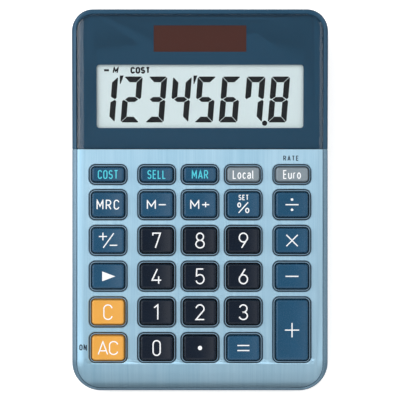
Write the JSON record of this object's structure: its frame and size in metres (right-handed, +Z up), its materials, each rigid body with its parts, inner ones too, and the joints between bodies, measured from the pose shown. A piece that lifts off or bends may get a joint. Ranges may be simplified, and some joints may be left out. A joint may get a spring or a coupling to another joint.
{
  "type": "desk calculator",
  "caption": "Wedge-shaped desk calculator with a sloped display window, a solar cell, a brushed metal keypad plate and sprung dished keys.",
  "frame": {"origin": "on the desk, under the middle of the case's width and length", "axes": "+Z up, +Y away from the user towards the display end, +X to the user's right"},
  "size_m": [0.102, 0.151, 0.0292],
  "materials": {
    "housing_light": "satin metallic spray on moulded plastic",
    "housing_dark": "satin metallic spray on moulded plastic",
    "housing_base": "moulded, fine texture",
    "brushed_plate": "brushed, anodised pale blue",
    "window": "clear polished plastic sheet",
    "mask": "printed",
    "lcd_glass": "clear glass",
    "reflector": "pale grey-green",
    "black_plastic": "moulded",
    "ribbon": "flexible film",
    "solar": "dark brown film behind glass",
    "wire": "insulated wire",
    "silicone": "moulded",
    "carbon": "printed carbon",
    "board": "solder mask",
    "resin": "cast resin",
    "screw": "zinc plated",
    "cell": "nickel plated",
    "contact": "nickel plated spring strip",
    "feet": "moulded",
    "key_blue": "moulded, satin",
    "key_dark": "moulded, satin",
    "key_grey": "moulded, satin",
    "key_orange": "moulded, satin"
  },
  "bodies": {
    "case": {"keypad_housing": "housing_light", "display_housing": "housing_dark", "face_plate": "brushed_plate", "display_window": "window", "window_mask": "mask", "lcd_front_glass": "lcd_glass", "lcd_rear_glass": "lcd_glass", "lcd_reflector": "reflector", "lcd_holder": "black_plastic", "lcd_ribbon": "ribbon", "solar_cell": "solar", "solar_leads": "wire", "key_mat": "silicone", "contact_pads": "carbon", "main_board": "board", "chip_cover": "resin", "board_components": "resin", "board_screws": "screw", "lower_case": "housing_base", "case_screws": "screw", "battery_cover": "housing_base", "battery_cover_screw": "screw", "button_cell": "cell", "cell_top_contact": "contact", "cell_side_contact": "contact", "battery_leads": "wire", "rubber_feet": "feet"},
    "key_cost_body": {"key_cost": "key_blue"},
    "key_sell_body": {"key_sell": "key_blue"},
    "key_margin_body": {"key_margin": "key_blue"},
    "key_local_body": {"key_local": "key_grey"},
    "key_euro_body": {"key_euro": "key_grey"},
    "key_memory_recall_body": {"key_memory_recall": "key_blue"},
    "key_memory_minus_body": {"key_memory_minus": "key_blue"},
    "key_memory_plus_body": {"key_memory_plus": "key_blue"},
    "key_percent_body": {"key_percent": "key_blue"},
    "key_divide_body": {"key_divide": "key_blue"},
    "key_sign_body": {"key_sign": "key_blue"},
    "key_7_body": {"key_7": "key_dark"},
    "key_8_body": {"key_8": "key_dark"},
    "key_9_body": {"key_9": "key_dark"},
    "key_multiply_body": {"key_multiply": "key_blue"},
    "key_step_back_body": {"key_step_back": "key_blue"},
    "key_4_body": {"key_4": "key_dark"},
    "key_5_body": {"key_5": "key_dark"},
    "key_6_body": {"key_6": "key_dark"},
    "key_minus_body": {"key_minus": "key_blue"},
    "key_clear_body": {"key_clear": "key_orange"},
    "key_1_body": {"key_1": "key_dark"},
    "key_2_body": {"key_2": "key_dark"},
    "key_3_body": {"key_3": "key_dark"},
    "key_all_clear_body": {"key_all_clear": "key_orange"},
    "key_0_body": {"key_0": "key_dark"},
    "key_point_body": {"key_point": "key_dark"},
    "key_equals_body": {"key_equals": "key_blue"},
    "key_plus_body": {"key_plus": "key_blue"}
  },
  "joints": [
    {"name": "press_cost", "type": "slide", "parent": "case", "child": "key_cost_body", "axis": [0, 0.0785, -0.9969], "range_m": [0, 0.0012], "stiffness_N_per_m": 250, "springref_m": -0.0003, "deforming": ["key_mat"]},
    {"name": "press_sell", "type": "slide", "parent": "case", "child": "key_sell_body", "axis": [0, 0.0785, -0.9969], "range_m": [0, 0.0012], "stiffness_N_per_m": 250, "springref_m": -0.0003, "deforming": ["key_mat"]},
    {"name": "press_margin", "type": "slide", "parent": "case", "child": "key_margin_body", "axis": [0, 0.0785, -0.9969], "range_m": [0, 0.0012], "stiffness_N_per_m": 250, "springref_m": -0.0003, "deforming": ["key_mat"]},
    {"name": "press_local", "type": "slide", "parent": "case", "child": "key_local_body", "axis": [0, 0.0785, -0.9969], "range_m": [0, 0.0012], "stiffness_N_per_m": 250, "springref_m": -0.0003, "deforming": ["key_mat"]},
    {"name": "press_euro", "type": "slide", "parent": "case", "child": "key_euro_body", "axis": [0, 0.0785, -0.9969], "range_m": [0, 0.0012], "stiffness_N_per_m": 250, "springref_m": -0.0003, "deforming": ["key_mat"]},
    {"name": "press_memory_recall", "type": "slide", "parent": "case", "child": "key_memory_recall_body", "axis": [0, 0.0785, -0.9969], "range_m": [0, 0.0012], "stiffness_N_per_m": 250, "springref_m": -0.0003, "deforming": ["key_mat"]},
    {"name": "press_memory_minus", "type": "slide", "parent": "case", "child": "key_memory_minus_body", "axis": [0, 0.0785, -0.9969], "range_m": [0, 0.0012], "stiffness_N_per_m": 250, "springref_m": -0.0003, "deforming": ["key_mat"]},
    {"name": "press_memory_plus", "type": "slide", "parent": "case", "child": "key_memory_plus_body", "axis": [0, 0.0785, -0.9969], "range_m": [0, 0.0012], "stiffness_N_per_m": 250, "springref_m": -0.0003, "deforming": ["key_mat"]},
    {"name": "press_percent", "type": "slide", "parent": "case", "child": "key_percent_body", "axis": [0, 0.0785, -0.9969], "range_m": [0, 0.0012], "stiffness_N_per_m": 250, "springref_m": -0.0003, "deforming": ["key_mat"]},
    {"name": "press_divide", "type": "slide", "parent": "case", "child": "key_divide_body", "axis": [0, 0.0785, -0.9969], "range_m": [0, 0.0012], "stiffness_N_per_m": 250, "springref_m": -0.0003, "deforming": ["key_mat"]},
    {"name": "press_sign", "type": "slide", "parent": "case", "child": "key_sign_body", "axis": [0, 0.0785, -0.9969], "range_m": [0, 0.0012], "stiffness_N_per_m": 250, "springref_m": -0.0003, "deforming": ["key_mat"]},
    {"name": "press_7", "type": "slide", "parent": "case", "child": "key_7_body", "axis": [0, 0.0785, -0.9969], "range_m": [0, 0.0012], "stiffness_N_per_m": 250, "springref_m": -0.0003, "deforming": ["key_mat"]},
    {"name": "press_8", "type": "slide", "parent": "case", "child": "key_8_body", "axis": [0, 0.0785, -0.9969], "range_m": [0, 0.0012], "stiffness_N_per_m": 250, "springref_m": -0.0003, "deforming": ["key_mat"]},
    {"name": "press_9", "type": "slide", "parent": "case", "child": "key_9_body", "axis": [0, 0.0785, -0.9969], "range_m": [0, 0.0012], "stiffness_N_per_m": 250, "springref_m": -0.0003, "deforming": ["key_mat"]},
    {"name": "press_multiply", "type": "slide", "parent": "case", "child": "key_multiply_body", "axis": [0, 0.0785, -0.9969], "range_m": [0, 0.0012], "stiffness_N_per_m": 250, "springref_m": -0.0003, "deforming": ["key_mat"]},
    {"name": "press_step_back", "type": "slide", "parent": "case", "child": "key_step_back_body", "axis": [0, 0.0785, -0.9969], "range_m": [0, 0.0012], "stiffness_N_per_m": 250, "springref_m": -0.0003, "deforming": ["key_mat"]},
    {"name": "press_4", "type": "slide", "parent": "case", "child": "key_4_body", "axis": [0, 0.0785, -0.9969], "range_m": [0, 0.0012], "stiffness_N_per_m": 250, "springref_m": -0.0003, "deforming": ["key_mat"]},
    {"name": "press_5", "type": "slide", "parent": "case", "child": "key_5_body", "axis": [0, 0.0785, -0.9969], "range_m": [0, 0.0012], "stiffness_N_per_m": 250, "springref_m": -0.0003, "deforming": ["key_mat"]},
    {"name": "press_6", "type": "slide", "parent": "case", "child": "key_6_body", "axis": [0, 0.0785, -0.9969], "range_m": [0, 0.0012], "stiffness_N_per_m": 250, "springref_m": -0.0003, "deforming": ["key_mat"]},
    {"name": "press_minus", "type": "slide", "parent": "case", "child": "key_minus_body", "axis": [0, 0.0785, -0.9969], "range_m": [0, 0.0012], "stiffness_N_per_m": 250, "springref_m": -0.0003, "deforming": ["key_mat"]},
    {"name": "press_clear", "type": "slide", "parent": "case", "child": "key_clear_body", "axis": [0, 0.0785, -0.9969], "range_m": [0, 0.0012], "stiffness_N_per_m": 250, "springref_m": -0.0003, "deforming": ["key_mat"]},
    {"name": "press_1", "type": "slide", "parent": "case", "child": "key_1_body", "axis": [0, 0.0785, -0.9969], "range_m": [0, 0.0012], "stiffness_N_per_m": 250, "springref_m": -0.0003, "deforming": ["key_mat"]},
    {"name": "press_2", "type": "slide", "parent": "case", "child": "key_2_body", "axis": [0, 0.0785, -0.9969], "range_m": [0, 0.0012], "stiffness_N_per_m": 250, "springref_m": -0.0003, "deforming": ["key_mat"]},
    {"name": "press_3", "type": "slide", "parent": "case", "child": "key_3_body", "axis": [0, 0.0785, -0.9969], "range_m": [0, 0.0012], "stiffness_N_per_m": 250, "springref_m": -0.0003, "deforming": ["key_mat"]},
    {"name": "press_all_clear", "type": "slide", "parent": "case", "child": "key_all_clear_body", "axis": [0, 0.0785, -0.9969], "range_m": [0, 0.0012], "stiffness_N_per_m": 250, "springref_m": -0.0003, "deforming": ["key_mat"]},
    {"name": "press_0", "type": "slide", "parent": "case", "child": "key_0_body", "axis": [0, 0.0785, -0.9969], "range_m": [0, 0.0012], "stiffness_N_per_m": 250, "springref_m": -0.0003, "deforming": ["key_mat"]},
    {"name": "press_point", "type": "slide", "parent": "case", "child": "key_point_body", "axis": [0, 0.0785, -0.9969], "range_m": [0, 0.0012], "stiffness_N_per_m": 250, "springref_m": -0.0003, "deforming": ["key_mat"]},
    {"name": "press_equals", "type": "slide", "parent": "case", "child": "key_equals_body", "axis": [0, 0.0785, -0.9969], "range_m": [0, 0.0012], "stiffness_N_per_m": 250, "springref_m": -0.0003, "deforming": ["key_mat"]},
    {"name": "press_plus", "type": "slide", "parent": "case", "child": "key_plus_body", "axis": [0, 0.0785, -0.9969], "range_m": [0, 0.0012], "stiffness_N_per_m": 250, "springref_m": -0.0003, "deforming": ["key_mat"]}
  ]
}
